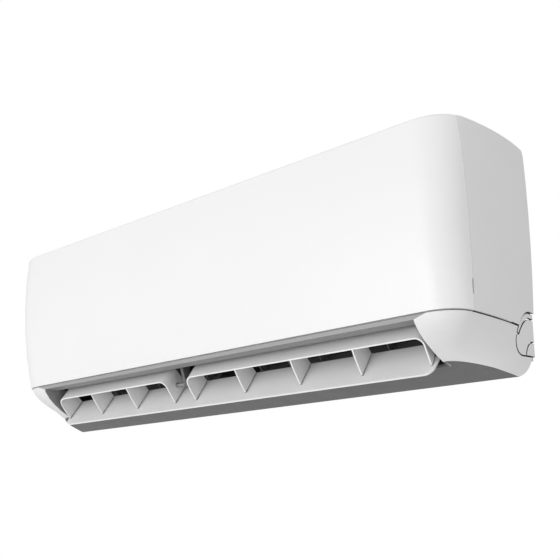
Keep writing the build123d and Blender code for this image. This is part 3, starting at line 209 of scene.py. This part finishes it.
finish = {
    "panel_white": plastic("panel_white", (0.885, 0.885, 0.885), 0.34, grain=0.00001, spread=0.01),
    "housing_white": plastic("housing_white", (0.84, 0.84, 0.84), 0.48, spread=0.015),
    # Painted light: a lighter copy of the housing's white that offsets the shade under the brow,
    # with painted shade in its inner corners.
    "hood_painted_light_and_shade": plastic("hood_painted_light_and_shade", (0.9, 0.9, 0.9), 0.48, spread=0.015, painted_shade_width=0.006),
    # Painted highlight: a brighter white for the front rims of the flap and hoods.
    "rim_painted_highlight": plastic("rim_painted_highlight", (0.93, 0.93, 0.93), 0.4, spread=0.01),
    # Painted shade: grey for the flat strip over the outlet, standing in for its shaded rounded
    # underside.
    "strip_painted_shade": plastic("strip_painted_shade", (0.38, 0.38, 0.385), 0.5, spread=0.04),
    # Painted shade: grey for the brow's underside and the outlet's side walls, where shade falls.
    "brow_painted_shade": plastic("brow_painted_shade", (0.3, 0.3, 0.305), 0.5, spread=0.03),
    # Painted shade: near black for faces seen through the seams.
    "seam_painted_shade": plastic("seam_painted_shade", (0.06, 0.06, 0.062), 0.7, spread=0.05),
    # Painted shade: dark grey for the walls of the gaps round the knock-outs.
    "knock_gap_painted_shade": plastic("knock_gap_painted_shade", (0.09, 0.09, 0.092), 0.6, spread=0.05),
    "cover_grey": plastic("cover_grey", (0.135, 0.135, 0.137), 0.42, grain=0.00006, spread=0.05),
    "inner_grey": plastic("inner_grey", (0.4, 0.41, 0.42), 0.55),
    "inner_dark": plastic("inner_dark", (0.16, 0.16, 0.162), 0.5),
    "foam_grey": plastic("foam_grey", (0.03, 0.03, 0.031), 0.6),
    "zinc_steel": metal("zinc_steel", (0.6, 0.61, 0.62), 0.36),
    "fin_aluminium": finned_aluminium("fin_aluminium"),
    "copper": metal("copper", (0.75, 0.36, 0.22), 0.3),
    "motor_steel": metal("motor_steel", (0.3, 0.31, 0.32), 0.45),
    "rubber_black": plastic("rubber_black", (0.02, 0.02, 0.02), 0.8),
    "board_green": circuit_board("board_green"),
    "filter_mesh": filter_cloth("filter_mesh"),
}

# ---------------------------------------------------------------- pieces
slot_of = {part["node"]: part["material_slot"] for part in frame["record"]["subparts"]}
weld_reach = 0.00002
sharp_angle = math.radians(28)
plain_edge = 0.0003
edge_width = {
    "front_panel": 0.0009,
    "lower_housing": 0.0006,
    "face_frame": 0.0006,
    "knockout_outer": 0.0007,
    "knockout_inner": 0.0007,
    "knockout_small": 0.0006,
}
pressed_sheet = ("wall_plate",)
own_finish = {
    "base_cover": "cover_grey",
    "louver_mid_arm": "inner_dark",
    # The hoods take the lighter white, which is painted light, with painted corner shade.
    "louver_hood_left": "hood_painted_light_and_shade",
    "louver_hood_right": "hood_painted_light_and_shade",
}

# Landmarks of the lower housing in the frame, in metres. A limit on a normal says how
# squarely a face looks down, forward or sideways, where 1 is square on.
outlet_half = (0.32, 0.337, 0.34)  # between the side walls, their outer faces, the brow
brow_y, brow_z = -0.15, -0.126
strip_half, strip_z = 0.2, -0.1213
wall_end_half, wall_end_y = (0.33, 0.338), -0.1285
lip_z = -0.16
knock_half, knock_y, knock_z = 0.385, -0.066, (-0.168, -0.095)
rim_y = -0.14

# The outer skin of the housing's side, by depth from the wall and height above the
# underside: a bow that widens upward, and the groove, which falls towards the wall.
underside_z, body_depth = -0.185, 0.185
bow_foot, bow_rise = 0.020, 0.0492
bow_low, bow_growth, bow_power = 0.187, 0.433, 1.5
skin_widest = 0.4013
groove_front, groove_fall = 0.0692, 0.0122
groove_reach, groove_end = 0.006, 0.15
behind_skin = 0.0008
lap_end_depth, lap_end_height = 0.004, 0.027


def in_brow(centre, normal):
    """The underside of the brow over the outlet, and the outlet's side walls, which get painted
    shade.
    """
    inner, outer, brow = outlet_half
    in_front = centre.z > brow_z and centre.y < brow_y
    roof = in_front and normal.z < -0.6 and abs(centre.x) < brow
    wall = inner < abs(centre.x) < outer and centre.x * normal.x < -0.2
    return roof or wall


def in_strip(centre, normal):
    """The narrow face between the front panel and the outlet, painted grey as the shade of an edge
    that curves under.
    """
    return normal.y < -0.9 and centre.z > strip_z and abs(centre.x) < strip_half


def skin_half(depth, height):
    """Half width of the lower housing's outer skin at a place on its side."""
    rise = max((height - bow_foot) / bow_rise, 0.0)
    bow = bow_low + bow_growth * rise**bow_power
    return skin_widest - bow + math.sqrt(bow**2 - depth**2)


def in_seam(centre, normal):
    """The laps and ledges seen only through the seams of the side, painted dark as the shade in
    the seams.
    """
    depth = -centre.y
    height = centre.z - underside_z
    groove = groove_front - groove_fall * (1 - depth / body_depth)
    if centre.x * normal.x < 0 or abs(normal.x) < 0.6:
        return False
    before_knockouts = depth > -knock_y
    if before_knockouts and abs(height - groove) > groove_reach or depth > groove_end:
        return False
    if depth < lap_end_depth and height < lap_end_height:  # shows past the rear edge
        return False
    return skin_half(depth, height) - abs(centre.x) > behind_skin


def in_tail(centre, normal):
    """The housing's lip and the ends of the outlet's walls, flush with the underside."""
    inner, outer = wall_end_half
    lip = normal.z < -0.93 and normal.y > -0.4 and centre.z < lip_z
    wall_end = inner < abs(centre.x) < outer and centre.y > wall_end_y and normal.z < -0.4
    return lip or wall_end


def in_knock_edge(centre, normal):
    """The narrow walls of the gaps round the knock-out panels, painted dark as the shade in the
    gaps.
    """
    low, high = knock_z
    near = centre.y > knock_y and abs(centre.x) > knock_half and low < centre.z < high
    return near and abs(normal.x) < 0.5


def in_rim(centre, normal):
    """The narrow front edges of the flap and its hoods, which get a painted highlight."""
    return normal.y < -0.6 and centre.y < rim_y


trims = {
    "lower_housing": (  # a face in two of these gets the later finish
        ("brow_painted_shade", in_brow),
        ("strip_painted_shade", in_strip),
        ("seam_painted_shade", in_seam),
        ("cover_grey", in_tail),
        ("knock_gap_painted_shade", in_knock_edge),
    ),
}
# Painted shade on the walls of the knock-out gaps.
for piece in ("face_frame", "knockout_outer", "knockout_inner", "knockout_small", "knockout_left"):
    trims[piece] = (("knock_gap_painted_shade", in_knock_edge),)
# Painted highlight on the front rims of the flap and its hoods.
for piece in ("louver_plate", "louver_hood_left", "louver_hood_right"):
    trims[piece] = (("rim_painted_highlight", in_rim),)


def finish_node(name, node):
    """Rounded edges, smooth curved faces, and the finish of the node's slot.

    Pressed sheet keeps its sharp cut edges and flat faces.
    """
    mesh = node.data
    mesh.materials.clear()
    mesh.materials.append(finish[own_finish.get(name, slot_of[name])])
    for index, (trim, belongs) in enumerate(trims.get(name, ()), start=1):
        mesh.materials.append(finish[trim])
        for polygon in mesh.polygons:
            if belongs(polygon.center, polygon.normal):
                polygon.material_index = index
    pressed = name in pressed_sheet
    mesh.polygons.foreach_set("use_smooth", [not pressed] * len(mesh.polygons))
    if pressed:
        return
    weld = node.modifiers.new("weld", "WELD")
    weld.merge_threshold = weld_reach
    bevel = node.modifiers.new("rounding", "BEVEL")
    bevel.width = edge_width.get(name, plain_edge)
    bevel.segments = 2
    bevel.limit_method = "ANGLE"
    bevel.angle_limit = sharp_angle
    bevel.use_clamp_overlap = True
    if name.startswith("knockout"):  # the bevels take the painted shade of the gap's walls
        bevel.material = 1
    even = node.modifiers.new("even", "WEIGHTED_NORMAL")
    even.keep_sharp = True


for name, node in nodes.items():
    finish_node(name, node)

# ---------------------------------------------------------------- studio
floor_drop, floor_reach = 0.9, 12.0


def white_ground():
    """White to the camera, and a plain pale floor to everything else."""
    material, shader = new_material("studio_white")
    shader.inputs["Base Color"].default_value = (0.8, 0.8, 0.8, 1.0)
    shader.inputs["Roughness"].default_value = 0.9
    glow = add_node(material, "ShaderNodeEmission")
    glow.inputs["Strength"].default_value = 1.0
    rays = add_node(material, "ShaderNodeLightPath")
    pick = add_node(material, "ShaderNodeMixShader")
    link(material, rays.outputs["Is Camera Ray"], pick.inputs[0])
    link(material, shader.outputs[0], pick.inputs[1])
    link(material, glow.outputs[0], pick.inputs[2])
    link(material, pick.outputs[0], material.node_tree.nodes["Material Output"].inputs["Surface"])
    return material


def floor():
    """The floor, well below the wall-hung unit."""
    mesh = bpy.data.meshes.new("floor")
    low = rest_box[0][2] - floor_drop
    quarters = ((-1, -1), (1, -1), (1, 1), (-1, 1))
    corners = [(x * floor_reach, y * floor_reach, low) for x, y in quarters]
    mesh.from_pydata(corners, [], [(0, 1, 2, 3)])
    ground = bpy.data.objects.new("floor", mesh)
    mesh.materials.append(white_ground())
    bpy.context.scene.collection.objects.link(ground)


def sky(fill):
    """Even white light from all round, and pure white to the camera."""
    world = bpy.data.worlds.new("studio")
    bpy.context.scene.world = world
    world.use_nodes = True
    tree = world.node_tree
    light = tree.nodes["Background"]
    light.inputs["Strength"].default_value = fill
    light.inputs["Color"].default_value = (1.0, 1.0, 1.0, 1.0)
    clear = tree.nodes.new("ShaderNodeBackground")
    clear.inputs["Color"].default_value = (1.0, 1.0, 1.0, 1.0)
    rays = tree.nodes.new("ShaderNodeLightPath")
    pick = tree.nodes.new("ShaderNodeMixShader")
    tree.links.new(rays.outputs["Is Camera Ray"], pick.inputs[0])
    tree.links.new(light.outputs[0], pick.inputs[1])
    tree.links.new(clear.outputs[0], pick.inputs[2])
    tree.links.new(pick.outputs[0], tree.nodes["World Output"].inputs["Surface"])


def soft_light(name, place, target, size, power):
    """A large square lamp aimed at a point."""
    lamp = bpy.data.lights.new(name, "AREA")
    lamp.size = size
    lamp.energy = power
    holder = bpy.data.objects.new(name, lamp)
    holder.location = place
    holder.rotation_euler = (Vector(target) - Vector(place)).to_track_quat("-Z", "Y").to_euler()
    bpy.context.scene.collection.objects.link(holder)


def photo_camera():
    """The photograph's viewpoint, solved from the unit's outline, outlet and flap."""
    data = bpy.data.cameras.new("photo")
    data.lens = 47.27
    data.sensor_width = 36.0
    data.shift_x = 0.046
    data.shift_y = 0.3295
    data.clip_end = 50.0
    right = Vector((0.7987271, 0.59836969, -0.06315643))
    up = Vector((0.05753119, 0.02853479, 0.99793583))
    forward = Vector((-0.59893671, 0.80071186, 0.01163341))
    place = Vector((0.6617, -0.94327, -0.27973))
    turn = Matrix((right, up, -forward)).transposed().to_4x4()
    camera = bpy.data.objects.new("photo", data)
    camera.matrix_world = Matrix.Translation(place) @ turn
    bpy.context.scene.collection.objects.link(camera)
    bpy.context.scene.camera = camera


floor()
sky(fill=0.69)
soft_light("key", place=(-0.2, -3.2, 0.1), target=(0.0, 0.0, 0.0), size=2.4, power=18.0)
soft_light("low", place=(-0.1, -2.8, -0.55), target=(0.0, 0.0, -0.1), size=1.8, power=20.5)
photo_camera()
bpy.context.scene.view_settings.view_transform = "Standard"
